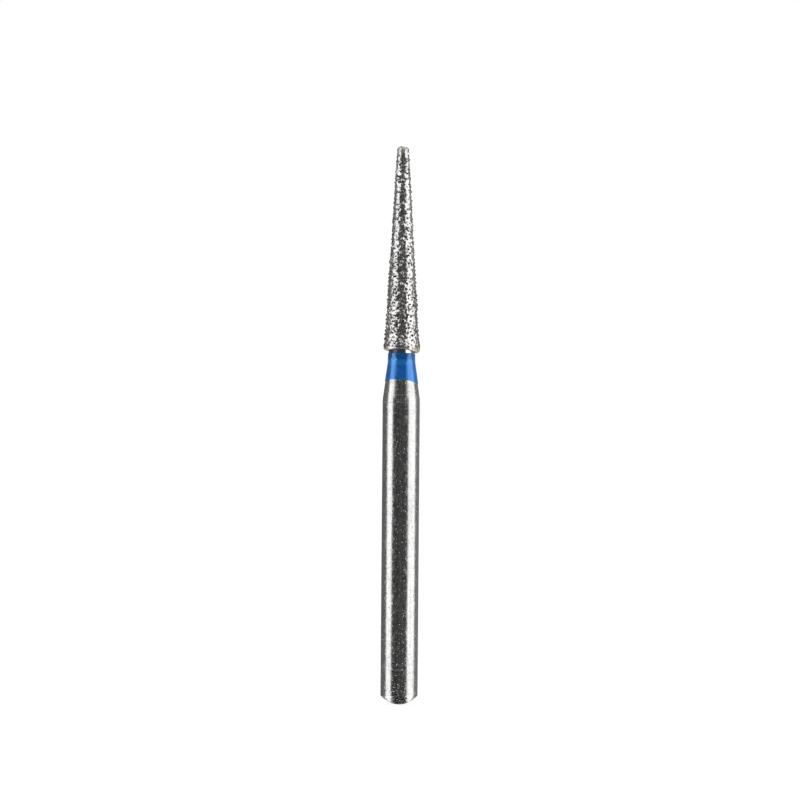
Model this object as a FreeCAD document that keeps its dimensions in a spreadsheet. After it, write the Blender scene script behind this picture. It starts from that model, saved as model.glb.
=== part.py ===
import FreeCAD, Part
import math
import os
import random
import Sketcher

# Tapered round-end diamond bur with a friction-grip shank, in millimetres.
# The axis is Z: the shank's domed end stands at the origin and the tip points up.
# A steel blank is turned in one piece, its head is plated with nickel that holds
# diamond grit, and a lacquered colour ring for the grit size is painted on its neck.

SIZES = [
    ("shank_radius", 0.80, "shank gripped by the handpiece, 1.60 across"),
    ("dome_radius", 1.04, "sphere that rounds the shank's free end"),
    ("shank_length", 13.11, "from the free end to the shoulder"),
    ("shoulder_length", 1.72, "cone from the shank down to the neck"),
    ("neck_radius", 0.557, "bare neck under the lacquer"),
    ("neck_length", 0.37, "straight neck below the head"),
    ("core_radius", 0.63, "blank's head at its base, under the plating"),
    ("core_crown_radius", 0.12, "flat end of the blank's head"),
    ("core_tip_round", 0.035, "rounding round that flat end"),
    ("head_length", 8.80, "working head, from the plating's underside to the last grain"),
    ("bond_thickness", 0.09, "nickel over the blank, about three quarters of a grain"),
    ("grit_stand", 0.035, "how far a grain stands out of the nickel"),
    ("grain_pitch", 0.165, "distance between neighbouring grains"),
    ("lip_radius", 0.775, "nickel where it flares out at the head's base"),
    ("lip_round", 0.10, "rounding of that lower edge"),
    ("flare_length", 0.80, "height over which the flare runs out"),
    ("band_length", 1.31, "colour ring, down from the head's base"),
    ("band_thickness", 0.02, "lacquer of the colour ring"),
]

HEAD_BASE = "Sizes.shank_length + Sizes.shoulder_length + Sizes.neck_length"
CORE_BASE = HEAD_BASE + " + Sizes.bond_thickness"
CORE_TOP = HEAD_BASE + " + Sizes.head_length - Sizes.bond_thickness - Sizes.grit_stand"

# Pattern of the grains. Shares are of the grain pitch, of a row's height or of the stand.
GRAIN_SEED = 16
FEWEST_GRAINS = 4
ROW_SHARE = math.cos(math.pi / 6)
LOW_SHARE = 0.25
STAGGER_SHARE = 0.5
SHIFT_SHARE = 0.22
LOW_SHIFT_SHARE = 0.14
STAND_SHARES = (0.25, 1.4)

# The rounded lower edge of the nickel, and how close faces lie that are sewn together.
LIP_SIDES = 42
LIP_STEPS = 3
SEAM = 1e-5


class At:
    """The sketcher's own numbers: a curve's points, the origin and the upright axis."""

    START, END, CENTRE = 1, 2, 3
    ORIGIN = (-1, 1)
    UPRIGHT = -2


def make_sheet(doc):
    """Spreadsheet of the driving dimensions, one alias a row."""
    sheet = doc.addObject("Spreadsheet::Sheet", "Sizes")
    for row, (alias, value, note) in enumerate(SIZES, start=1):
        sheet.set(f"A{row}", alias)
        sheet.set(f"B{row}", str(value))
        sheet.set(f"C{row}", note)
        sheet.setAlias(f"B{row}", alias)
    doc.recompute()
    return sheet


def taper_angle(step_in, rounding, height):
    """Angle to the axis of a line that leaves a point and is tangent to a rounding's arc.

    step_in and height are the distances, inwards and up, from the point to the arc's centre.
    """
    reach = math.hypot(step_in, height)
    return math.acos(rounding / reach) - math.atan2(height, step_in)


class Head:
    """Surface of the nickel over the blank's head, as the grains see it."""

    def __init__(self, sheet):
        self.base = sheet.shank_length + sheet.shoulder_length + sheet.neck_length
        self.bond = sheet.bond_thickness
        self.core_base = self.base + self.bond
        self.core_radius = sheet.core_radius
        self.crown, self.tip_round = sheet.core_crown_radius, sheet.core_tip_round
        self.core_top = self.base + sheet.head_length - self.bond - sheet.grit_stand
        self.tip_centre = self.core_top - self.tip_round
        height = self.tip_centre - self.core_base
        self.angle = taper_angle(self.core_radius - self.crown, self.tip_round, height)
        self.straight = (height + self.tip_round * math.sin(self.angle)) / math.cos(self.angle)
        self.bend = self.straight + (math.pi / 2 - self.angle) * (self.tip_round + self.bond)
        self.full_run = self.bend + self.crown
        self.lip_radius, self.lip_round = sheet.lip_radius, sheet.lip_round
        self.lip_top = self.base + self.lip_round
        self.start = (self.lip_top - self.core_base) / math.cos(self.angle)
        self.flare_length = sheet.flare_length
        self.flare = 0
        self.flare = self.lip_radius - self.point(self.start, 0)[0]

    def point(self, run, stand):
        """Radius and height at a run up the meridian, standing off the nickel."""
        if run > self.bend:
            return self.full_run - run, self.core_top + self.bond + stand
        if run > self.straight:
            off = self.tip_round + self.bond
            turn = self.angle + (run - self.straight) / off
            out, up = (off + stand) * math.cos(turn), (off + stand) * math.sin(turn)
            return self.crown + out, self.tip_centre + up
        fade = max(0, 1 - (run - self.start) / self.flare_length)
        off = self.bond + stand + self.flare * fade ** 2
        radius = self.core_radius + off * math.cos(self.angle) - run * math.sin(self.angle)
        height = self.core_base + off * math.sin(self.angle) + run * math.cos(self.angle)
        return radius, height


def new_body(doc, name):
    body = doc.addObject("PartDesign::Body", name)
    body.Label = name
    return body


def new_sketch(body, name):
    """Sketch on the body's own XZ plane: its axes are the radius and the height."""
    plane = next(item for item in body.Origin.OriginFeatures if item.Role == "XZ_Plane")
    sketch = body.newObject("Sketcher::SketchObject", name)
    sketch.AttachmentSupport = [(plane, "")]
    sketch.MapMode = "FlatFace"
    return sketch


def add_line(sketch, start, end, construction=False):
    line = Part.LineSegment(FreeCAD.Vector(*start, 0), FreeCAD.Vector(*end, 0))
    return sketch.addGeometry(line, construction)


def add_arc(sketch, centre, radius, start_angle, end_angle):
    circle = Part.Circle(FreeCAD.Vector(*centre, 0), FreeCAD.Vector(0, 0, 1), radius)
    return sketch.addGeometry(Part.ArcOfCircle(circle, start_angle, end_angle), False)


def tie(sketch, kind, *where):
    sketch.addConstraint(Sketcher.Constraint(kind, *where))


def size(sketch, name, kind, where, value, formula):
    """Named dimension, bound to the spreadsheet by its formula."""
    index = sketch.addConstraint(Sketcher.Constraint(kind, *where, value))
    sketch.renameConstraint(index, name)
    sketch.setExpression(f"Constraints.{name}", formula)


def chain(sketch, edges):
    """Join each edge's end to the next one's start."""
    for edge, following in zip(edges, edges[1:]):
        tie(sketch, "Coincident", edge, At.END, following, At.START)


def revolve(body, sketch):
    """Turn the profile a full circle about the sketch's vertical axis."""
    turned = body.newObject("PartDesign::Revolution", sketch.Name + "_turned")
    turned.Profile = sketch
    turned.ReferenceAxis = (sketch, ["V_Axis"])
    turned.Angle = 360
    body.Tip = turned
    return body


def make_blank(doc, sheet, head):
    """Turned blank: domed shank, shoulder, neck and the head's tapered core."""
    body = new_body(doc, "steel_blank")
    sketch = new_sketch(body, "blank_profile")
    radius, neck = sheet.shank_radius, sheet.neck_radius
    dome, tip = sheet.dome_radius, sheet.core_tip_round
    rim = dome - math.sqrt(dome ** 2 - radius ** 2)
    shoulder_top = sheet.shank_length + sheet.shoulder_length
    centre, edge, top = (head.crown, head.tip_centre), (head.crown, head.core_top), (0, head.core_top)
    tangent = (centre[0] + tip * math.cos(head.angle), centre[1] + tip * math.sin(head.angle))

    free_end = add_arc(sketch, (0, dome), dome, -math.pi / 2, math.asin(radius / dome) - math.pi / 2)
    shank = add_line(sketch, (radius, rim), (radius, sheet.shank_length))
    shoulder = add_line(sketch, (radius, sheet.shank_length), (neck, shoulder_top))
    neck_side = add_line(sketch, (neck, shoulder_top), (neck, head.core_base))
    ledge = add_line(sketch, (neck, head.core_base), (sheet.core_radius, head.core_base))
    taper = add_line(sketch, (sheet.core_radius, head.core_base), tangent)
    rounding = add_arc(sketch, centre, tip, head.angle, math.pi / 2)
    crown = add_line(sketch, edge, top)
    axis = add_line(sketch, top, (0, 0))

    chain(sketch, [free_end, shank, shoulder, neck_side, ledge, taper])
    chain(sketch, [crown, axis, free_end])
    tie(sketch, "Tangent", taper, At.END, rounding, At.START)
    tie(sketch, "Tangent", rounding, At.END, crown, At.START)
    tie(sketch, "Coincident", free_end, At.START, *At.ORIGIN)
    tie(sketch, "PointOnObject", free_end, At.CENTRE, At.UPRIGHT)
    tie(sketch, "PointOnObject", crown, At.END, At.UPRIGHT)
    tie(sketch, "Vertical", shank)
    tie(sketch, "Vertical", neck_side)
    tie(sketch, "Horizontal", ledge)
    tie(sketch, "Horizontal", crown)
    size(sketch, "dome", "Radius", (free_end,), dome, "Sizes.dome_radius")
    size(sketch, "shank_side", "DistanceX", (*At.ORIGIN, shank, At.END), radius, "Sizes.shank_radius")
    size(sketch, "shank_top", "DistanceY", (*At.ORIGIN, shank, At.END),
         sheet.shank_length, "Sizes.shank_length")
    size(sketch, "neck_side", "DistanceX", (*At.ORIGIN, shoulder, At.END), neck, "Sizes.neck_radius")
    size(sketch, "shoulder_top", "DistanceY", (*At.ORIGIN, shoulder, At.END),
         shoulder_top, "Sizes.shank_length + Sizes.shoulder_length")
    size(sketch, "core_base", "DistanceY", (*At.ORIGIN, ledge, At.END), head.core_base, CORE_BASE)
    size(sketch, "core_side", "DistanceX", (*At.ORIGIN, ledge, At.END),
         sheet.core_radius, "Sizes.core_radius")
    size(sketch, "tip_round", "Radius", (rounding,), tip, "Sizes.core_tip_round")
    size(sketch, "crown_side", "DistanceX", (*At.ORIGIN, rounding, At.END),
         head.crown, "Sizes.core_crown_radius")
    size(sketch, "core_top", "DistanceY", (*At.ORIGIN, rounding, At.END), head.core_top, CORE_TOP)
    return revolve(body, sketch)


def make_band(doc, sheet, head):
    """Lacquered colour ring: a film on the neck that runs out on the shoulder's cone."""
    body = new_body(doc, "colour_band")
    sketch = new_sketch(body, "band_profile")
    neck, film = sheet.neck_radius, sheet.band_thickness
    neck_foot = (neck, sheet.shank_length + sheet.shoulder_length)
    shoulder_foot = (sheet.shank_radius, sheet.shank_length)
    slope = (sheet.shank_radius - neck) / sheet.shoulder_length
    lean = math.atan(slope)
    low = head.base - sheet.band_length
    edge = (neck + (neck_foot[1] - low) * slope, low)
    outer_edge = (edge[0] + film * math.cos(lean), edge[1] + film * math.sin(lean))
    outer_foot = (neck + film, neck_foot[1] + film * math.tan(lean / 2))

    cone = add_line(sketch, neck_foot, shoulder_foot, True)
    inner_neck = add_line(sketch, (neck, head.base), neck_foot)
    inner_cone = add_line(sketch, neck_foot, edge)
    lower_edge = add_line(sketch, edge, outer_edge)
    outer_cone = add_line(sketch, outer_edge, outer_foot)
    outer_neck = add_line(sketch, outer_foot, (neck + film, head.base))
    upper_edge = add_line(sketch, (neck + film, head.base), (neck, head.base))

    outline = [inner_neck, inner_cone, lower_edge, outer_cone, outer_neck, upper_edge]
    chain(sketch, outline + [inner_neck])
    tie(sketch, "Coincident", cone, At.START, inner_neck, At.END)
    tie(sketch, "PointOnObject", inner_cone, At.END, cone)
    tie(sketch, "Vertical", inner_neck)
    tie(sketch, "Vertical", outer_neck)
    tie(sketch, "Horizontal", upper_edge)
    tie(sketch, "Perpendicular", lower_edge, inner_cone)
    tie(sketch, "Parallel", outer_cone, inner_cone)
    size(sketch, "neck_side", "DistanceX", (*At.ORIGIN, inner_neck, At.END), neck, "Sizes.neck_radius")
    size(sketch, "neck_foot", "DistanceY", (*At.ORIGIN, inner_neck, At.END),
         neck_foot[1], "Sizes.shank_length + Sizes.shoulder_length")
    size(sketch, "shoulder_side", "DistanceX", (*At.ORIGIN, cone, At.END),
         sheet.shank_radius, "Sizes.shank_radius")
    size(sketch, "shoulder_foot", "DistanceY", (*At.ORIGIN, cone, At.END),
         sheet.shank_length, "Sizes.shank_length")
    size(sketch, "band_low", "DistanceY", (*At.ORIGIN, inner_cone, At.END),
         low, HEAD_BASE + " - Sizes.band_length")
    size(sketch, "band_top", "DistanceY", (*At.ORIGIN, upper_edge, At.END), head.base, HEAD_BASE)
    size(sketch, "film_on_cone", "Distance", (lower_edge,), film, "Sizes.band_thickness")
    size(sketch, "film_on_neck", "DistanceX", (*At.ORIGIN, upper_edge, At.START),
         neck + film, "Sizes.neck_radius + Sizes.band_thickness")
    return revolve(body, sketch)


def ring(angles, radii, heights):
    """Points round the axis, each with its angle, kept in order of angle."""
    return [(angle, FreeCAD.Vector(radius * math.cos(angle), radius * math.sin(angle), height))
            for angle, radius, height in zip(angles, radii, heights)]


def lip_rings(head):
    """Rounded lower edge of the nickel, from its underside up to the flare."""
    angles = [2 * math.pi * side / LIP_SIDES for side in range(LIP_SIDES)]
    middle = head.lip_radius - head.lip_round
    rings = []
    for step in range(LIP_STEPS + 1):
        turn = math.pi / 2 * (step / LIP_STEPS - 1)
        radius = middle + head.lip_round * math.cos(turn)
        height = head.lip_top + head.lip_round * math.sin(turn)
        rings.append(ring(angles, [radius] * LIP_SIDES, [height] * LIP_SIDES))
    return rings


def bond_ring(head, dice, run, count, pitch, phase):
    """Ring of low points in the nickel between two rows of grains."""
    angles, radii, heights = [], [], []
    for place in range(count):
        shift = dice.uniform(-SHIFT_SHARE, SHIFT_SHARE)
        here = run + pitch * dice.uniform(-LOW_SHIFT_SHARE, LOW_SHIFT_SHARE)
        radius, height = head.point(here, 0)
        angles.append(2 * math.pi * (place + phase + shift) / count)
        radii.append(radius)
        heights.append(height)
    return ring(angles, radii, heights)


def grain_ring(head, dice, run, count, pitch, phase, stand):
    """Row of grains: each tip stands out of the nickel, with a low point after it."""
    angles, radii, heights = [], [], []
    for place in range(2 * count):
        is_grain = place % 2 == 0
        tall = stand * dice.uniform(*STAND_SHARES) if is_grain else 0
        shift = dice.uniform(-SHIFT_SHARE, SHIFT_SHARE)
        here = run + pitch * dice.uniform(-SHIFT_SHARE, SHIFT_SHARE)
        radius, height = head.point(here, tall)
        angles.append(2 * math.pi * ((place + shift) / 2 + phase) / count)
        radii.append(radius)
        heights.append(height)
    return ring(angles, radii, heights)


def grit_rings(sheet, head):
    """Rows of grains from the lower edge to the tip, staggered, fewer where the head is thin.

    Each row is a ring of low points and, half a row higher, its ring of grains. The
    topmost ring of grains is left out, because a single grain stands there on the tip.
    """
    dice = random.Random(GRAIN_SEED)
    pitch, stand = sheet.grain_pitch, sheet.grit_stand
    rows = round((head.full_run - head.start) / (pitch * ROW_SHARE))
    step = (head.full_run - head.start) / rows
    rings = []
    for row in range(rows):
        low_run = head.start + step * (row + LOW_SHARE)
        radius = head.point(low_run, 0)[0]
        count = max(FEWEST_GRAINS, round(2 * math.pi * radius / pitch))
        phase = STAGGER_SHARE * (row % 2)
        rings.append(bond_ring(head, dice, low_run, count, pitch, phase))
        rings.append(grain_ring(head, dice, low_run + step / 2, count, pitch, phase, stand))
    return rings[:-1]


def angle_after(one, place):
    """Angle of the point after a place on a ring, counted on past a full circle."""
    turns, rest = divmod(place + 1, len(one))
    return one[rest][0] + 2 * math.pi * turns


def stitch(lower, upper, low_start, high_start):
    """Triangles between two rings whose counts may differ, by walking round both."""
    facets = []
    low, high = 0, 0
    while low < len(lower) or high < len(upper):
        low_now = low_start + low % len(lower)
        high_now = high_start + high % len(upper)
        low_is_next = low < len(lower) and angle_after(lower, low) <= angle_after(upper, high)
        if low_is_next or high == len(upper):
            low += 1
            facets.append((low_now, low_start + low % len(lower), high_now))
        else:
            high += 1
            facets.append((low_now, high_start + high % len(upper), high_now))
    return facets


def relief_faces(sheet, head, rings):
    """Facets from the lower edge over the grains to the last grain on the tip."""
    vectors, facets = [], []
    for lower, upper in zip(rings, rings[1:]):
        low_start = len(vectors)
        vectors += [place for _, place in lower]
        facets += stitch(lower, upper, low_start, len(vectors))
    last, count = len(vectors), len(rings[-1])
    vectors += [place for _, place in rings[-1]]
    facets += [(last + side, last + (side + 1) % count, len(vectors)) for side in range(count)]
    vectors.append(FreeCAD.Vector(0, 0, head.base + sheet.head_length))
    shell = Part.Shape()
    shell.makeShapeFromMesh((vectors, facets), SEAM)
    print("facets in the relief:", len(facets))
    return shell.Faces


def seat_faces(sheet, head, blank, edge):
    """Underside of the plating and its faces on the blank: ledge, taper, flat end and neck."""
    low = FreeCAD.Vector(0, 0, head.base)
    rim = Part.makePolygon([place for _, place in edge + edge[:1]])
    hole = Part.Wire(Part.makeCircle(sheet.neck_radius, low))
    underside = Part.makeFace([rim, hole], "Part::FaceMakerBullseye")
    collar = Part.makeCylinder(sheet.neck_radius, sheet.bond_thickness, low)
    bore = next(face for face in collar.Faces if isinstance(face.Surface, Part.Cylinder))
    covered = [face for face in blank.Shape.Faces if face.CenterOfMass.z > head.base]
    return [underside, bore] + covered


def make_coat(doc, sheet, head, blank):
    """Nickel and diamond coat: a faceted relief of grains outside, the blank's form inside."""
    rings = lip_rings(head) + grit_rings(sheet, head)
    faces = relief_faces(sheet, head, rings) + seat_faces(sheet, head, blank, rings[0])
    skin = Part.makeCompound(faces)
    skin.sewShape(SEAM)
    solid = Part.Solid(skin.Shells[0])
    coat = doc.addObject("Part::Feature", "diamond_coat")
    coat.Label = "diamond_coat"
    coat.Shape = solid if solid.Volume > 0 else solid.reversed()
    coat.Placement = FreeCAD.Placement()
    return coat


def main():
    doc = FreeCAD.newDocument("diamond_bur")
    sheet = make_sheet(doc)
    head = Head(sheet)
    blank = make_blank(doc, sheet, head)
    band = make_band(doc, sheet, head)
    doc.recompute()
    coat = make_coat(doc, sheet, head, blank)
    doc.recompute()
    parts = [blank, band, coat]
    for item in doc.Objects:
        if "Invalid" in item.State or "Error" in item.State:
            raise RuntimeError(f"{item.Label} failed: {item.State}")
    for item in parts:
        if item.Shape.isNull() or not item.Shape.isValid():
            raise RuntimeError(f"{item.Label} has no valid shape")
    os.makedirs("parts", exist_ok=True)
    for item in parts:
        item.Shape.exportStep(f"parts/{item.Label}.step")
        print(item.Label, "volume", round(item.Shape.Volume, 5), "solids", len(item.Shape.Solids))


main()
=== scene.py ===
"""Looks of a tapered round-end diamond bur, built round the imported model.

Lengths are in millimetres, and meshes are scaled to metres when they are made.
The axis is Z, the camera looks along +Y, and an angle round the axis starts at +X.
"""
import math
import random

import bmesh
import bpy
import numpy as np
from mathutils import Euler, Matrix, Vector, noise


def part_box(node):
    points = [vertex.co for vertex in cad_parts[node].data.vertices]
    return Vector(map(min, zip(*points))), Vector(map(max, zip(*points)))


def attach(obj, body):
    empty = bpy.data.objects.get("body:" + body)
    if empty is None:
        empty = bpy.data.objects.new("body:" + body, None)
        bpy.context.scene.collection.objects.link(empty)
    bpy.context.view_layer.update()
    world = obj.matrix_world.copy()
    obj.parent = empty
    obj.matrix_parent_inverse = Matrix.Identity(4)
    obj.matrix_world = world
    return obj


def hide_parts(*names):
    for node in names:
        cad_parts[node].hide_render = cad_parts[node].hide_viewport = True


MM = 0.001
TURN = 2 * math.pi
QUARTER = math.pi / 2

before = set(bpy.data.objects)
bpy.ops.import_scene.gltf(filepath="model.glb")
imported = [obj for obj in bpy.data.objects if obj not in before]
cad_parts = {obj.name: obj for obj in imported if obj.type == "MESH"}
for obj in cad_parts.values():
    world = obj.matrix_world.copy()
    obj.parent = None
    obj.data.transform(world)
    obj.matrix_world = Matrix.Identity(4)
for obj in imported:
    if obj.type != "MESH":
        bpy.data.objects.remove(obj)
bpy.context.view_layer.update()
_, blank_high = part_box("steel_blank")
band_low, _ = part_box("colour_band")
coat_low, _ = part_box("diamond_coat")

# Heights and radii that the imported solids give
SHANK_RADIUS = blank_high.x / MM
CORE_TOP = blank_high.z / MM
BAND_LOW = band_low.z / MM
HEAD_BASE = coat_low.z / MM

# The blank's other sizes
DOME_RADIUS = 1.04
SHOULDER_FOOT = 13.11
NECK_FOOT = 14.83
NECK_RADIUS = 0.557
CORE_RADIUS = 0.63
CROWN = 0.12
TIP_ROUND = 0.035

# The plating's sizes
BOND = 0.09
LIP_RADIUS = 0.775
LIP_ROUND = 0.10
FLARE_LENGTH = 0.80


def taper_angle(step_in, rounding, height):
    """Angle to the axis of a line from a point, tangent to a rounding's arc."""
    reach = math.hypot(step_in, height)
    return math.acos(rounding / reach) - math.atan2(height, step_in)


# A run is a length along the core's profile, from its base up to the axis.
# The profile is straight up to STRAIGHT, then bends up to BEND, and is flat from there.
CORE_BASE = HEAD_BASE + BOND
TIP_CENTRE = CORE_TOP - TIP_ROUND
TAPER = taper_angle(CORE_RADIUS - CROWN, TIP_ROUND, TIP_CENTRE - CORE_BASE)
STRAIGHT = (TIP_CENTRE - CORE_BASE + TIP_ROUND * math.sin(TAPER)) / math.cos(TAPER)
TIP_OFF = TIP_ROUND + BOND
BEND = STRAIGHT + (QUARTER - TAPER) * TIP_OFF
FULL_RUN = BEND + CROWN

# The plating's side starts at START_RUN, above its rounded lower edge, and flares there
LIP_TOP = HEAD_BASE + LIP_ROUND
START_RUN = (LIP_TOP - CORE_BASE) / math.cos(TAPER)
PLAIN_START = CORE_RADIUS + BOND * math.cos(TAPER) - START_RUN * math.sin(TAPER)
FLARE = LIP_RADIUS - PLAIN_START


def base_share(run, length):
    """One where the plating's side starts, falling to none at a length above it."""
    return np.clip(1 - (run - START_RUN) / length, 0, 1) ** 2


def meridian(run, stand):
    """Radius, height and slope of the plating at a run up its side, standing off it."""
    turn = TAPER + np.clip((run - STRAIGHT) / TIP_OFF, 0, QUARTER - TAPER)
    off = BOND + stand + FLARE * base_share(run, FLARE_LENGTH)
    side_radius = CORE_RADIUS + off * math.cos(TAPER) - run * math.sin(TAPER)
    side_height = CORE_BASE + off * math.sin(TAPER) + run * math.cos(TAPER)
    tip_radius = CROWN + (TIP_OFF + stand) * np.cos(turn) - np.maximum(run - BEND, 0)
    tip_height = TIP_CENTRE + (TIP_OFF + stand) * np.sin(turn)
    on_tip = run > STRAIGHT
    radius = np.where(on_tip, tip_radius, side_radius)
    height = np.where(on_tip, tip_height, side_height)
    return radius, height, turn


# Meshes

CORNER_STEPS = 4
SUPPORT = 1.7


def add_object(name, vertices, faces):
    """New object in the scene, from vertices in millimetres."""
    mesh = bpy.data.meshes.new(name)
    mesh.from_pydata((np.array(vertices) * MM).tolist(), [], faces)
    mesh.update()
    item = bpy.data.objects.new(name, mesh)
    bpy.context.scene.collection.objects.link(item)
    return item


def around(columns):
    """Angles of a round grid's columns."""
    return np.arange(columns) / columns * TURN


def spun(profile, columns):
    """Radii and heights of a round grid that has one profile in all its columns."""
    profile = np.array(profile)
    return [np.repeat(part[:, None], columns, axis=1) for part in profile.T]


def grid_object(name, radii, heights, loop):
    """Smooth mesh of rows round the axis, which close to a loop or end in a pole each."""
    rows, columns = radii.shape
    angles = around(columns)
    points = np.stack([radii * np.cos(angles), radii * np.sin(angles), heights], axis=2)
    points = list(points.reshape(-1, 3))
    faces = []
    for row in range(rows if loop else rows - 1):
        here, above = row * columns, (row + 1) % rows * columns
        for column in range(columns):
            after = (column + 1) % columns
            faces.append((here + column, here + after, above + after, above + column))
    if not loop:
        for row, flip in ((0, True), (rows - 1, False)):
            points.append(np.array((0, 0, heights[row].mean())))
            pole, edge = len(points) - 1, row * columns
            for column in range(columns):
                pair = (edge + column, edge + (column + 1) % columns)
                faces.append((pair[1], pair[0], pole) if flip else (*pair, pole))
    item = add_object(name, points, faces)
    item.data.polygons.foreach_set("use_smooth", [True] * len(faces))
    item.data.update()
    return item


def arc(centre, radius, first, last, steps):
    """Points of an arc about a centre (radius, height), angles from the horizontal."""
    turns = np.linspace(first, last, steps + 1)
    return [(centre[0] + radius * math.cos(turn), centre[1] + radius * math.sin(turn))
            for turn in turns]


def soften(corners):
    """Round each corner (radius, height, reach) and set rows close beside it."""
    profile = []
    for index, (radius, height, reach) in enumerate(corners):
        here = Vector((radius, height))
        if reach == 0:
            profile.append(tuple(here))
            continue
        back = (Vector(corners[index - 1][:2]) - here).normalized()
        ahead = (Vector(corners[index + 1][:2]) - here).normalized()
        start, end = here + back * reach, here + ahead * reach
        profile.append(tuple(here + back * reach * SUPPORT))
        for step in range(CORNER_STEPS + 1):
            share = step / CORNER_STEPS
            point = start * (1 - share) ** 2 + here * 2 * share * (1 - share) + end * share ** 2
            profile.append(tuple(point))
        profile.append(tuple(here + ahead * reach * SUPPORT))
    return profile


# Steel blank

SHANK_COLUMNS = 224
DOME_STEPS = 26
TIP_STEPS = 6
RIM_REACH = 0.016
SHOULDER_REACH = 0.10
NECK_REACH = 0.05
SHANK_GROOVES = (1.55, 1.71)
CONE_GROOVES = (13.33,)
GROOVE_DEPTH = 0.004
GROOVE_REACH = 0.014


def blank_radius(height):
    """Radius of the turned blank between its shank and its head."""
    share = np.clip((height - SHOULDER_FOOT) / (NECK_FOOT - SHOULDER_FOOT), 0, 1)
    return SHANK_RADIUS + share * (NECK_RADIUS - SHANK_RADIUS)


def grooves(levels):
    """Fine grooves that the turning tool left, each with plain rows on both sides."""
    rows = []
    for level in levels:
        for step in (-2, -1, 0, 1, 2):
            height = level + step * GROOVE_REACH
            depth = GROOVE_DEPTH if step == 0 else 0
            rows.append((float(blank_radius(height)) - depth, height, 0))
    return rows


def make_steel():
    """The blank: domed end, shank, shoulder cone, neck and the core inside the plating."""
    half_angle = math.asin(SHANK_RADIUS / DOME_RADIUS)
    rim = DOME_RADIUS * (1 - math.cos(half_angle))
    dome = arc((0, DOME_RADIUS), DOME_RADIUS, -QUARTER, half_angle - QUARTER, DOME_STEPS)
    tip = arc((CROWN, TIP_CENTRE), TIP_ROUND, TAPER, QUARTER, TIP_STEPS)
    corners = [(*point, 0) for point in dome[1:-1]]
    corners += [(SHANK_RADIUS, rim, RIM_REACH)] + grooves(SHANK_GROOVES)
    corners += [(SHANK_RADIUS, SHOULDER_FOOT, SHOULDER_REACH)] + grooves(CONE_GROOVES)
    corners += [(NECK_RADIUS, NECK_FOOT, NECK_REACH), (NECK_RADIUS, CORE_BASE, 0)]
    corners += [(CORE_RADIUS, CORE_BASE, 0)] + [(*point, 0) for point in tip]
    return grid_object("steel_shank", *spun(soften(corners), SHANK_COLUMNS), False)


# Uneven edges: a lean to the right and to the front, a saddle, and waves.
# A wave has its size, how often it goes up and down round the neck, and its shift.

BAND_LEAN = (-0.055, 0.025, -0.055)
BAND_WAVES = ((0.007, 5, 1.0), (0.004, 11, 0.0))
LIP_LEAN = (-0.050, 0.045, -0.035)
LIP_WAVES = ((0.006, 4, 2.0), (0.004, 9, 0.5))


def uneven(angles, lean, waves):
    """How far an uneven edge rises above a plain ring."""
    right, front, saddle = lean
    rise = right * np.cos(angles) - front * np.sin(angles) + saddle * np.cos(2 * angles)
    for size, count, shift in waves:
        rise = rise + size * np.sin(count * angles + shift)
    return rise


def lip_rise(angles):
    """How far the plating's lower edge rises above a plain ring."""
    return uneven(angles, LIP_LEAN, LIP_WAVES)


# Lacquer ring

BAND_COLUMNS = 224
BAND_ROWS = 60
BAND_TOP = 15.11
BAND_TOP_LEAN = 0.2
FILM = 0.02
FILM_INSIDE = 0.006
EDGE_ROUND = 0.035
TOP_ROUND = 0.12
NECK_BLEND = 0.1
NECK_THICKER = 0.5
FILM_SWELL = 0.15
NECK_SWELL = 0.6
FILM_SWELL_SCALE = 3
EDGE_LAYER = "above_edge"


def film_thickness(angles, heights, low, top):
    """Lacquer rounded off at both edges, and thicker and more uneven on the neck."""
    rounding = np.minimum((heights - low) / EDGE_ROUND, (top - heights) / TOP_ROUND)
    rounding = np.clip(rounding, 0, 1)
    on_neck = np.clip((heights - NECK_FOOT) / NECK_BLEND + 1, 0, 1)
    swell = [[noise.noise(Vector((math.cos(angle), math.sin(angle), height)) * FILM_SWELL_SCALE)
              for angle, height in zip(angles, row)] for row in heights]
    swell = 1 + (FILM_SWELL + NECK_SWELL * on_neck) * np.array(swell)
    return FILM * (1 + NECK_THICKER * on_neck) * swell * np.sqrt(1 - (1 - rounding) ** 2)


def make_band():
    """The ring, with each point's height above its lower edge for the material."""
    angles = around(BAND_COLUMNS)
    low = BAND_LOW + uneven(angles, BAND_LEAN, BAND_WAVES)
    top = BAND_TOP + BAND_TOP_LEAN * lip_rise(angles)
    shares = (1 - np.cos(np.linspace(0, math.pi, BAND_ROWS)[:, None])) / 2
    outer_heights = low + shares * (top - low)
    outer = blank_radius(outer_heights) + film_thickness(angles, outer_heights, low, top)
    inner_heights = np.stack([top, np.full_like(top, NECK_FOOT), low])
    inner = blank_radius(inner_heights) - FILM_INSIDE
    heights = np.concatenate([outer_heights, inner_heights])
    item = grid_object("lacquer_ring", np.concatenate([outer, inner]), heights, True)
    layer = item.data.attributes.new(EDGE_LAYER, "FLOAT", "POINT")
    layer.data.foreach_set("value", (heights - low).ravel().astype(np.float32))
    return item


# Plating

COAT_COLUMNS = 208
COAT_ROWS = 425
LIP_ROWS = 9
LIP_FADE = 0.45
MOUNDS = (0.006, 0.052)
MOUND_WIDTH = 0.055
MOUND_REACH = 0.20
SWELL = 0.012
SWELL_SCALE = 3.0
RIPPLE = 0.013
RIPPLE_SCALE = 8.0


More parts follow.
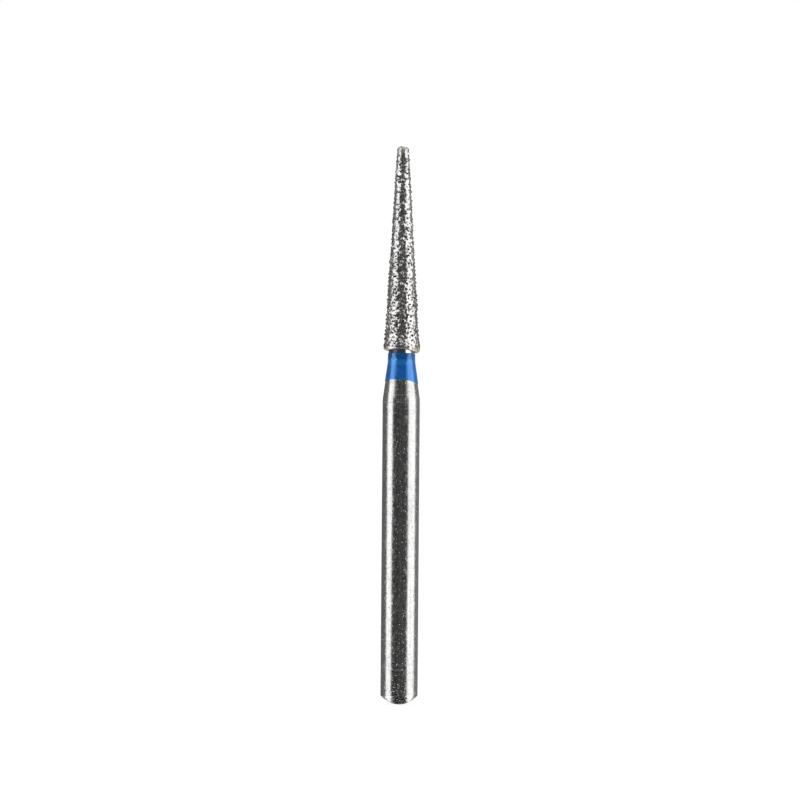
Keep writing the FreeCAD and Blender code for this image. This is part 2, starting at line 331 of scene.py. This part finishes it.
def nickel_height(points, spots, mounds):
    """Nickel over the plain envelope: slow swell, fine ripple and a mound at each grain."""
    rows, columns, _ = points.shape
    lift = np.zeros((rows, columns))
    for row in range(rows):
        level = points[row, 0, 2]
        near = np.abs(spots[:, 2] - level) < MOUND_REACH
        gaps = np.linalg.norm(points[row][:, None, :] - spots[near][None], axis=2)
        lift[row] = (mounds[near] * np.exp(-(gaps / MOUND_WIDTH) ** 2)).sum(axis=1)
        for column in range(columns):
            here = Vector(points[row, column])
            lift[row, column] += SWELL * noise.noise(here * SWELL_SCALE)
            lift[row, column] += RIPPLE * noise.noise(here * RIPPLE_SCALE)
    return lift


def outer_coat(spots, mounds):
    """Rows of the plating's outside, from its lower edge up to the tip."""
    runs = np.linspace(START_RUN, FULL_RUN, COAT_ROWS + 1)[:-1, None]
    angles = around(COAT_COLUMNS)[None]
    plain, level, turn = meridian(runs, 0)
    points = np.stack([plain * np.cos(angles), plain * np.sin(angles),
                       np.repeat(level, COAT_COLUMNS, axis=1)], axis=2)
    lift = nickel_height(points, spots, mounds)
    heights = level + lift * np.sin(turn) + base_share(runs, LIP_FADE) * lip_rise(angles)
    return plain + lift * np.cos(turn), heights


def lip_coat(edge_radii, edge_heights):
    """Rounded lower edge, from the underside's rim up to just below the outside."""
    rise = lip_rise(around(COAT_COLUMNS))
    share = np.linspace(0, 1, LIP_ROWS + 1)[:-1, None]
    turns = (share - 1) * QUARTER
    radii = LIP_RADIUS - LIP_ROUND + LIP_ROUND * np.cos(turns)
    heights = LIP_TOP + LIP_ROUND * np.sin(turns) + rise
    radii = radii + share * (edge_radii - LIP_RADIUS)
    return radii, heights + share * (edge_heights - LIP_TOP - rise)


def inner_coat():
    """Rows inside the plating, from the tip of the blank's core down to the underside."""
    rows = arc((CROWN, TIP_CENTRE), TIP_ROUND, QUARTER, TAPER, TIP_STEPS)
    rows += [(CORE_RADIUS, CORE_BASE), (NECK_RADIUS, CORE_BASE)]
    radii, heights = spun(rows, COAT_COLUMNS)
    bore = np.full(COAT_COLUMNS, NECK_RADIUS)
    underside = HEAD_BASE + lip_rise(around(COAT_COLUMNS))
    return np.vstack([radii, bore]), np.vstack([heights, underside])


def make_nickel(spots, mounds):
    """The plating, from inside round its lower edge to its outside."""
    outer = outer_coat(spots, mounds)
    lip = lip_coat(outer[0][0], outer[1][0])
    radii, heights = (np.vstack(rows) for rows in zip(inner_coat(), lip, outer))
    return grid_object("nickel_plating", radii, heights, False)


# Grit

GRAIN_SEED = 16
GRAIN_SPACING = 0.126
GRAIN_TRIES = 30000
GRAIN_RADII = (0.056, 0.080)
SHOWN = (0.026, 0.052)
BARE_SHARE = 0.02
TIP_SETTLE = 0.50
BASE_SETTLE = 0.45
CRYSTAL_KINDS = 14
CRYSTAL_POINTS = 13
CRYSTAL_REACH = (0.88, 1.10)


def place(run, angle, stand):
    """Point that stands off the plating at a run up its side."""
    radius, height, _ = meridian(run, stand)
    return Vector((radius * math.cos(angle), radius * math.sin(angle), float(height)))


def settled(run):
    """Share of its stand that a grain keeps: less towards the tip and on the flared base."""
    return 1 - TIP_SETTLE * run / FULL_RUN - BASE_SETTLE * base_share(run, FLARE_LENGTH)


def scatter_grains(dice):
    """Grains thrown on the plating, none nearer to another than the spacing."""
    grains = []
    spots = np.zeros((0, 3))
    for _ in range(GRAIN_TRIES):
        run = dice.uniform(START_RUN, FULL_RUN)
        angle = dice.uniform(0, TURN)
        keep = dice.uniform(0, LIP_RADIUS)
        spot = place(run, angle, 0)
        if keep > max(math.hypot(spot.x, spot.y), CROWN):
            continue
        gaps = np.linalg.norm(spots - np.array(spot), axis=1)
        if len(spots) and gaps.min() < GRAIN_SPACING:
            continue
        spots = np.concatenate([spots, [tuple(spot)]])
        grains.append((run, angle))
    return grains, spots


def crystal(dice):
    """Blocky crystal: hull of a few points near a sphere, as vertices and faces."""
    form = bmesh.new()
    for _ in range(CRYSTAL_POINTS):
        spot = Vector([dice.gauss(0, 1) for _ in range(3)]).normalized()
        form.verts.new(spot * dice.uniform(*CRYSTAL_REACH))
    hull = bmesh.ops.convex_hull(form, input=form.verts)
    loose = [item for item in hull["geom_interior"] if isinstance(item, bmesh.types.BMVert)]
    bmesh.ops.delete(form, geom=loose, context="VERTS")
    form.verts.index_update()
    vertices = [vertex.co.copy() for vertex in form.verts]
    faces = [[vertex.index for vertex in face.verts] for face in form.faces]
    form.free()
    return vertices, faces


def make_grains(dice, grains, lifts):
    """Crystals that show a little above the nickel round them."""
    kinds = [crystal(dice) for _ in range(CRYSTAL_KINDS)]
    vertices, faces = [], []
    for (run, angle), lift in zip(grains, lifts):
        if dice.random() < BARE_SHARE:
            continue
        size = dice.uniform(*GRAIN_RADII)
        stand = lift + dice.uniform(*SHOWN) * settled(run) - size
        rise = base_share(run, LIP_FADE) * lip_rise(angle)
        centre = place(run, angle, stand) + Vector((0, 0, rise))
        spin = Euler([dice.uniform(0, TURN) for _ in range(3)]).to_matrix()
        corners, sides = dice.choice(kinds)
        start = len(vertices)
        vertices += [tuple(centre + spin @ corner * size) for corner in corners]
        faces += [[start + index for index in side] for side in sides]
    return add_object("diamond_grains", vertices, faces)


# Materials

class Nodes:
    """Small helper that adds and links the nodes of one material or world."""

    def __init__(self, owner):
        self.owner = owner
        owner.use_nodes = True
        self.tree = owner.node_tree
        self.tree.nodes.clear()

    def add(self, kind, inputs=None, **settings):
        """New node, with values or links for its inputs."""
        node = self.tree.nodes.new("ShaderNode" + kind)
        for key, value in settings.items():
            setattr(node, key, value)
        for key, value in (inputs or {}).items():
            if isinstance(value, bpy.types.NodeSocket):
                self.tree.links.new(value, node.inputs[key])
            else:
                node.inputs[key].default_value = value
        return node

    def coordinates(self, scale=(1, 1, 1)):
        """Object coordinates in millimetres, scaled along each axis."""
        inside = self.add("TexCoord").outputs["Object"]
        scale = [part / MM for part in scale]
        return self.add("Mapping", {"Vector": inside, "Scale": scale}).outputs[0]

    def position(self, axis):
        """Place along one axis, in millimetres."""
        return self.add("SeparateXYZ", {"Vector": self.coordinates()}).outputs[axis]

    def noise(self, scale, detail, roughness=0.5):
        """Noise with so many features per millimetre along each axis."""
        inputs = {"Vector": self.coordinates(scale), "Scale": 1.0,
                  "Detail": detail, "Roughness": roughness}
        return self.add("TexNoise", inputs).outputs["Fac"]

    def ramp(self, value, low, high, first, last):
        """Smooth change from first to last while a value goes from low to high."""
        inputs = {"Value": value, "From Min": low, "From Max": high,
                  "To Min": first, "To Max": last}
        return self.add("MapRange", inputs, interpolation_type="SMOOTHSTEP").outputs[0]

    def maths(self, operation, first, second):
        """Result of an operation on two values."""
        return self.add("Math", {0: first, 1: second}, operation=operation).outputs[0]

    def blend(self, share, first, second):
        """Mix of two colours."""
        return self.add("Mix", {0: share, 6: first, 7: second}, data_type="RGBA").outputs[2]

    def over(self, tone, value, fade, colour):
        """Tone with a colour over it, as far as a fade of a value (a ramp) says."""
        return self.blend(self.ramp(value, *fade), tone, colour)

    def bump(self, height, distance, **normal):
        """Normal of a relief that is so many millimetres high."""
        inputs = {"Height": height, "Distance": distance * MM, "Strength": 1.0, **normal}
        return self.add("Bump", inputs).outputs[0]

    def surface(self, shader, kind="Material"):
        """The material or world itself, with its shader in place."""
        self.add("Output" + kind, {"Surface": shader.outputs[0]})
        return self.owner

    def principled(self, inputs):
        """The material, with a plain physical shader."""
        return self.surface(self.add("BsdfPrincipled", inputs))


def material_nodes(name):
    """Nodes of a new material."""
    return Nodes(bpy.data.materials.new(name))


def grey(value, warmth=0.0):
    """Grey of a brightness, a little warm or plain."""
    return (value * (1 + warmth), value, value * (1 - warmth), 1)


# Ramps are (low, high, first, last), and noise is (scale, detail, roughness).

# The steel's tones
BANDS = ((0.25, 0.25, 0.8), 2)
MOTTLE = ((7, 7, 4), 3, 0.6)
SPECKS = ((10, 10, 7), 2)
STREAKS = ((8, 8, 0.22), 2)
RINGS = ((0.6, 0.6, 26), 2)
BAND_RAMP = (0.3, 0.7, 0, 1)
BAND_TONES = (grey(0.64, 0.004), grey(0.70, 0.01))
MOTTLE_STAIN = ((0.30, 0.46, 0.45, 0), grey(0.42))
SPECK_STAIN = ((0.36, 0.52, 0.32, 0), grey(0.34))
STREAK_STAIN = ((0.36, 0.52, 0.25, 0), grey(0.38))
RING_STAIN = ((0.56, 0.70, 0, 0.30), grey(0.36))

# The steel's relief and gloss
DOTS = ((16, 16, 16), 1)
DENT_START = (0, 2.5, 0.66, 0.73)
DENT_FULL = 0.84
DENT_DEPTH = 0.022
SPECK_RELIEF = (0.62, 0.76, 0, 1)
SPECK_DEPTH = 0.0035
RING_DEPTH = 0.0010
STEEL_ROUGH = (0.42, 0.72, 0.19, 0.32)
SPECK_DULL = (0.50, 0.66, 0, 0.025)
RING_DULL = (0.50, 0.62, 0, 1)
PLAIN_RINGS = 0.012
ZONE_RINGS = 0.10
RING_ZONES = ((12.95, 13.40), (1.50, 1.75))
ZONE_FADE = 0.05

# Painted shadow of the plating's lip on the bare steel in the gap between lacquer and plating
GAP_SHADE_HEIGHT = (15.02, 15.07, 0, 1)
GAP_SHADE_SIDE = (0.12, 0.22, 1, 0)
GAP_SHADE_COVER = 0.97
GAP_SHADE_TONE = (0.014, 0.020, 0.034, 1)


def ring_zone(nodes):
    """How dull the turned rings are: more at the shoulder's foot and near the free end."""
    height = nodes.position("Z")
    level = PLAIN_RINGS
    for low, high in RING_ZONES:
        rise = nodes.ramp(height, low - ZONE_FADE, low, 0, ZONE_RINGS)
        fall = nodes.ramp(height, high, high + ZONE_FADE, 0, ZONE_RINGS)
        level = nodes.maths("ADD", level, nodes.maths("SUBTRACT", rise, fall))
    return level


def painted_gap_shade(nodes):
    """Where the painted shade lies: in the gap under the plating's lip, left off on the right
    side where the bare neck shows the lamp's reflection.
    """
    in_gap = nodes.ramp(nodes.position("Z"), *GAP_SHADE_HEIGHT)
    shaded_side = nodes.ramp(nodes.position("X"), *GAP_SHADE_SIDE)
    return nodes.maths("MULTIPLY", in_gap, shaded_side)


def steel_relief(nodes, specks, rings):
    """Normal of the steel, dented most near the free end, with specks and turned rings."""
    start = nodes.ramp(nodes.position("Z"), *DENT_START)
    limits = {"Value": nodes.noise(*DOTS), "From Min": start, "From Max": DENT_FULL}
    dents = nodes.add("MapRange", limits).outputs[0]
    normal = nodes.bump(nodes.ramp(specks, *SPECK_RELIEF), SPECK_DEPTH)
    normal = nodes.bump(dents, DENT_DEPTH, Normal=normal)
    return nodes.bump(rings, RING_DEPTH, Normal=normal)


def steel_material():
    """Ground and lightly pitted steel with circumferential marks, and a painted shadow in the
    gap under the plating.
    """
    nodes = material_nodes("ground_steel")
    mottle, specks, rings = (nodes.noise(*pattern) for pattern in (MOTTLE, SPECKS, RINGS))
    tone = nodes.blend(nodes.ramp(nodes.noise(*BANDS), *BAND_RAMP), *BAND_TONES)
    tone = nodes.over(tone, mottle, *MOTTLE_STAIN)
    tone = nodes.over(tone, specks, *SPECK_STAIN)
    tone = nodes.over(tone, nodes.noise(*STREAKS), *STREAK_STAIN)
    tone = nodes.over(tone, rings, *RING_STAIN)
    # Painted shadow of the lip in the gap: a dark tone, with the metal taken away there so that
    # it shows
    gap_shade = painted_gap_shade(nodes)
    tone = nodes.blend(nodes.maths("MULTIPLY", gap_shade, GAP_SHADE_COVER), tone, GAP_SHADE_TONE)
    dull_rings = nodes.maths("MULTIPLY", nodes.ramp(rings, *RING_DULL), ring_zone(nodes))
    dull = nodes.maths("ADD", nodes.ramp(specks, *SPECK_DULL), dull_rings)
    dull = nodes.maths("MAXIMUM", dull, gap_shade)
    return nodes.principled({"Base Color": tone,
                             "Metallic": nodes.maths("SUBTRACT", 1.0, dull),
                             "Roughness": nodes.ramp(mottle, *STEEL_ROUGH),
                             "Normal": steel_relief(nodes, specks, rings)})


# The nickel's tones, gloss and relief
PATCHES = ((1.6, 1.6, 1.6), 2)
PATCH_RAMP = (0.35, 0.65, 0, 1)
PATCH_TONES = (grey(0.64, 0.012), grey(0.71, 0.02))
LIP_ZONE = (HEAD_BASE + 0.02, HEAD_BASE + 0.18)
# Warm cream on the lip: partly the nickel's own tint, partly a painted warm reflection
LIP_TINT_AND_REFLECTION = (0.64, 0.55, 0.45, 1)
LIP_METAL = 0.45
TIP_ZONE = (CORE_TOP + BOND - 0.40, CORE_TOP + BOND)
TIP_TONE = (0.50, 0.45, 0.42, 1)
TIP_COVER = 0.60
TIP_DULL = 0.35
FINE = ((14, 14, 14), 3, 0.6)
FINE_DEPTH = 0.003
NICKEL_ROUGH = (0.40, 0.65, 0.17, 0.42)


def nickel_material():
    """Bright plated nickel, with a warm cream tone on the smooth lower edge that is partly its
    own tint and partly a painted warm reflection, and worn dull at the tip.
    """
    nodes = material_nodes("bright_nickel")
    height = nodes.position("Z")
    fine = nodes.noise(*FINE)
    tone = nodes.blend(nodes.ramp(nodes.noise(*PATCHES), *PATCH_RAMP), *PATCH_TONES)
    # Lip: warm cream tone, partly a painted warm reflection
    tone = nodes.over(tone, height, (*LIP_ZONE, 1, 0), LIP_TINT_AND_REFLECTION)
    tone = nodes.over(tone, height, (*TIP_ZONE, 0, TIP_COVER), TIP_TONE)
    metal = nodes.ramp(height, *LIP_ZONE, LIP_METAL, 1)
    metal = nodes.maths("SUBTRACT", metal, nodes.ramp(height, *TIP_ZONE, 0, TIP_DULL))
    return nodes.principled({"Base Color": tone, "Metallic": metal,
                             "Roughness": nodes.ramp(fine, *NICKEL_ROUGH),
                             "Normal": nodes.bump(fine, FINE_DEPTH)})


# The grit: most crystals are dark, and some paler
GRIT_RAMP = (0.50, 1.0, 0, 1)
GRIT_TONES = (grey(0.012), grey(0.30, 0.03))
GRIT_ROUGH = 0.20
GRIT_IOR = 1.8


def grain_material():
    """Dark, glassy diamond grit."""
    nodes = material_nodes("diamond_grit")
    each = nodes.add("NewGeometry").outputs["Random Per Island"]
    tone = nodes.blend(nodes.ramp(each, *GRIT_RAMP), *GRIT_TONES)
    return nodes.principled({"Base Color": tone, "Metallic": 0.0,
                             "Roughness": GRIT_ROUGH, "IOR": GRIT_IOR})


# The lacquer's tones: on the cone, under the neck, on the neck (thicker film with painted shade
# under the plating's lip), painted light to the right, at its edge
CLOUD = ((2.5, 2.5, 4), 3)
CLOUD_RAMP = (0.3, 0.7, 0, 1)
CLOUD_TONES = ((0.0, 0.115, 0.52, 1), (0.0, 0.15, 0.62, 1))
PALE_FILM = ((NECK_FOOT - 0.35, NECK_FOOT - 0.06, 0, 0.5), (0.0, 0.25, 0.68, 1))
# Darker navy on the neck: partly thicker lacquer, partly painted shade of the plating's lip
# above
NECK_FILM_AND_SHADE = ((NECK_FOOT - 0.06, NECK_FOOT + 0.06, 0, 0.85), (0.0, 0.065, 0.31, 1))
# Brighter blue on the right side: painted light where the right lamp's highlight falls
RIGHT_PAINTED_LIGHT = ((0.38, 0.56, 0, 0.7), (0.0, 0.20, 0.80, 1))
THIN_FILM = ((0.0, 0.07, 0.7, 0), (0.01, 0.27, 0.45, 1))

# The lacquer's relief, with soft blobs on the neck, and its gloss
BLOBS = ((4, 4, 5), 1)
BLOB_HEIGHT = (NECK_FOOT - 0.05, NECK_FOOT + 0.03, 0, 4)
FILM_RELIEF = 0.006
FILM_ROUGH = (0.35, 0.65, 0.26, 0.36)
FILM_GLOSS = {"Metallic": 0.5, "IOR": 2.0, "Specular Tint": (0.3, 1.0, 1.0, 1),
              "Coat Weight": 1.0, "Coat Roughness": 0.17, "Coat IOR": 1.65}


def lacquer_material():
    """Glossy blue lacquer over bright steel, darker on the neck from thicker film and painted
    shade, with painted light on its right side, and thin at its edge.
    """
    nodes = material_nodes("blue_lacquer")
    height = nodes.position("Z")
    cloud = nodes.noise(*CLOUD)
    above = nodes.add("Attribute", attribute_name=EDGE_LAYER).outputs["Fac"]
    tone = nodes.blend(nodes.ramp(cloud, *CLOUD_RAMP), *CLOUD_TONES)
    tone = nodes.over(tone, height, *PALE_FILM)
    # Neck darker: thicker film and painted shade under the lip
    tone = nodes.over(tone, height, *NECK_FILM_AND_SHADE)
    # Right side brighter: painted light from the right lamp
    tone = nodes.over(tone, nodes.position("X"), *RIGHT_PAINTED_LIGHT)
    tone = nodes.over(tone, above, *THIN_FILM)
    blobs = nodes.maths("MULTIPLY", nodes.noise(*BLOBS), nodes.ramp(height, *BLOB_HEIGHT))
    normal = nodes.bump(nodes.maths("ADD", blobs, cloud), FILM_RELIEF)
    return nodes.principled({"Base Color": tone, "Roughness": nodes.ramp(cloud, *FILM_ROUGH),
                             "Normal": normal, "Coat Normal": normal, **FILM_GLOSS})


# Stage: floor, cards, lamps, world and camera

FLOOR_HALF = 1500
FLOOR_THROWN = grey(0.85)
FLOOR_SEEN = grey(0.16)
FLOOR_GLOW = 0.88
WORLD_LIGHT = 0.95

# Cards: name, first and last angle, lower and upper edge, brightness.
# Angles are degrees from the camera's side, growing to the right.
CARD_DISTANCE = 80
CARD_STEPS = 24
CARDS = (
    ("front_left_card", (-54, -8), (-90, 33), 0.050),
    ("front_card", (-8, 6), (-90, 33), 0.075),
    ("front_right_card", (6, 48), (-90, 33), 0.058),
    ("upper_left_card", (-43, -8), (33, 95), 0.050),
    ("upper_card", (-8, 6), (33, 95), 0.075),
    ("upper_right_card", (6, 37), (33, 95), 0.058),
    ("right_rear_card", (101, 160), (-66, 120), 0.23),
    ("rear_right_card", (160, 180), (-5, 120), 0.23),
    ("rear_left_card", (180, 200), (-5, 120), 0.15),
    ("rear_foot_card", (174, 186), (-45, -5), 0.10),
    ("left_rear_card", (200, 269), (-66, 120), 0.15),
)

# Rows of the cards under the object, from front to back: half width, place along Y, height
UNDER_ROWS = ((62, -82, -90), (50, 0, -100), (34, 80, -95), (18, 80, -45))
UNDER_REACH = 220
UNDER_DARK = 0.03
UNDER_BRIGHT = 2.1

# Lamps: name, first and last angle
LAMP_DISTANCE = 72
LAMP_REACH = 110
LAMP_LEVEL = 0.62
LAMPS = (("left_softbox", (-91, -54)), ("right_softbox", (48, 101)))

LENS = 200
SENSOR = 36
VIEW_WIDTH = 34.41
CAMERA_HEIGHT = 13.09
CAMERA_SIDE = -0.054
ROLL = 0.44


def towards(angle):
    """Direction from the axis, by degrees from the camera's side that grow to the right."""
    turn = math.radians(angle) - QUARTER
    return Vector((math.cos(turn), math.sin(turn), 0))


def stage_object(name, vertices, faces, material):
    """Object of the studio, which isn't part of the bur."""
    item = add_object(name, vertices, faces)
    item.data.materials.append(material)
    return item


def strip(name, edges, brightness):
    """Glowing strip between pairs of points, which only reflections show."""
    faces = [(start, start + 1, start + 3, start + 2) for start in range(0, len(edges) - 2, 2)]
    nodes = material_nodes(name)
    glow = nodes.add("Emission", {"Color": grey(brightness), "Strength": 1.0})
    item = stage_object(name, edges, faces, nodes.surface(glow))
    item.visible_camera = False
    item.visible_diffuse = False
    item.visible_shadow = False


def make_card(name, angles, levels, brightness):
    """Card that is curved round the object."""
    edges = []
    for angle in np.linspace(*angles, CARD_STEPS + 1):
        spot = towards(angle) * CARD_DISTANCE
        edges += [(spot.x, spot.y, level) for level in levels]
    strip(name, edges, brightness)


def make_under_cards():
    """Dark strip that goes under the object to the back, and a bright one on each side."""
    middle, left, right = [], [], []
    for half, y, z in UNDER_ROWS:
        middle += [(-half, y, z), (half, y, z)]
        left += [(-half, y, z), (-UNDER_REACH, y, z)]
        right += [(half, y, z), (UNDER_REACH, y, z)]
    strip("under_card", middle, UNDER_DARK)
    strip("under_left_card", left, UNDER_BRIGHT)
    strip("under_right_card", right, UNDER_BRIGHT)


def make_lamp(name, angles):
    """Softbox that fills a range of angles as the object sees it."""
    first, last = angles
    side = towards((first + last) / 2)
    light = bpy.data.lights.new(name, "AREA")
    light.shape = "RECTANGLE"
    light.size = 2 * LAMP_DISTANCE * math.tan(math.radians(last - first) / 2) * MM
    light.size_y = 2 * LAMP_REACH * MM
    light.energy = LAMP_LEVEL * math.pi * light.size * light.size_y
    item = bpy.data.objects.new(name, light)
    item.location = side * LAMP_DISTANCE * MM
    item.rotation_euler = side.to_track_quat("Z", "Y").to_euler()
    item.visible_camera = False
    bpy.context.scene.collection.objects.link(item)


def floor_material():
    """White floor that the camera sees as the background, with the object's faint shadow."""
    nodes = material_nodes("white_floor")
    seen = nodes.add("LightPath").outputs["Is Camera Ray"]
    plain = nodes.add("BsdfDiffuse", {"Color": nodes.blend(seen, FLOOR_THROWN, FLOOR_SEEN)})
    level = nodes.maths("MULTIPLY", seen, FLOOR_GLOW)
    white = nodes.add("Emission", {"Color": grey(1.0), "Strength": level})
    return nodes.surface(nodes.add("AddShader", {0: plain.outputs[0], 1: white.outputs[0]}))


def make_floor():
    """Floor, which reflections don't show."""
    sides = ((-1, -1), (1, -1), (1, 1), (-1, 1))
    corners = [(x * FLOOR_HALF, y * FLOOR_HALF, 0) for x, y in sides]
    floor = stage_object("floor", corners, [(0, 1, 2, 3)], floor_material())
    floor.visible_glossy = False


def make_world():
    """World that is white where it is seen and lights a little less than that."""
    nodes = Nodes(bpy.data.worlds.new("studio"))
    path = nodes.add("LightPath").outputs
    seen = nodes.maths("MAXIMUM", path["Is Camera Ray"], path["Is Glossy Ray"])
    seen = nodes.maths("MAXIMUM", seen, path["Is Transmission Ray"])
    level = nodes.ramp(seen, 0, 1, WORLD_LIGHT, 1)
    sky = nodes.add("Background", {"Color": grey(1.0), "Strength": level})
    bpy.context.scene.world = nodes.surface(sky, "World")


def make_camera():
    """Level camera at the photograph's height, far off, with its small roll."""
    data = bpy.data.cameras.new("camera")
    data.lens = LENS
    data.sensor_width = SENSOR
    data.clip_start = MM
    item = bpy.data.objects.new("camera", data)
    distance = VIEW_WIDTH * LENS / SENSOR
    item.location = Vector((CAMERA_SIDE, -distance, CAMERA_HEIGHT)) * MM
    level = Matrix.Rotation(QUARTER, 3, "X")
    item.rotation_euler = (level @ Matrix.Rotation(math.radians(ROLL), 3, "Z")).to_euler()
    bpy.context.scene.collection.objects.link(item)
    bpy.context.scene.camera = item


def make_stage():
    """The whole studio round the object."""
    make_floor()
    for card in CARDS:
        make_card(*card)
    make_under_cards()
    for lamp in LAMPS:
        make_lamp(*lamp)
    make_world()
    make_camera()
    bpy.context.scene.view_settings.view_transform = "Standard"


# The pieces

def dress(item, material, slot, *nodes):
    """Give a piece its material, hang it under the root body and hide the imported nodes that
    it stands for.
    """
    item.data.materials.append(material)
    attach(item, "root")
    if nodes:
        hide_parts(*nodes)


dice = random.Random(GRAIN_SEED)
grains, spots = scatter_grains(dice)
mounds = np.array([dice.uniform(*MOUNDS) * settled(run) for run, _ in grains])
lifts = nickel_height(spots[:, None], spots, mounds)[:, 0]
dress(make_steel(), steel_material(), "shank_steel", "steel_blank")
dress(make_band(), lacquer_material(), "blue_lacquer", "colour_band")
dress(make_nickel(spots, mounds), nickel_material(), "diamond_nickel", "diamond_coat")
dress(make_grains(dice, grains, lifts), grain_material(), "diamond_nickel")
make_stage()
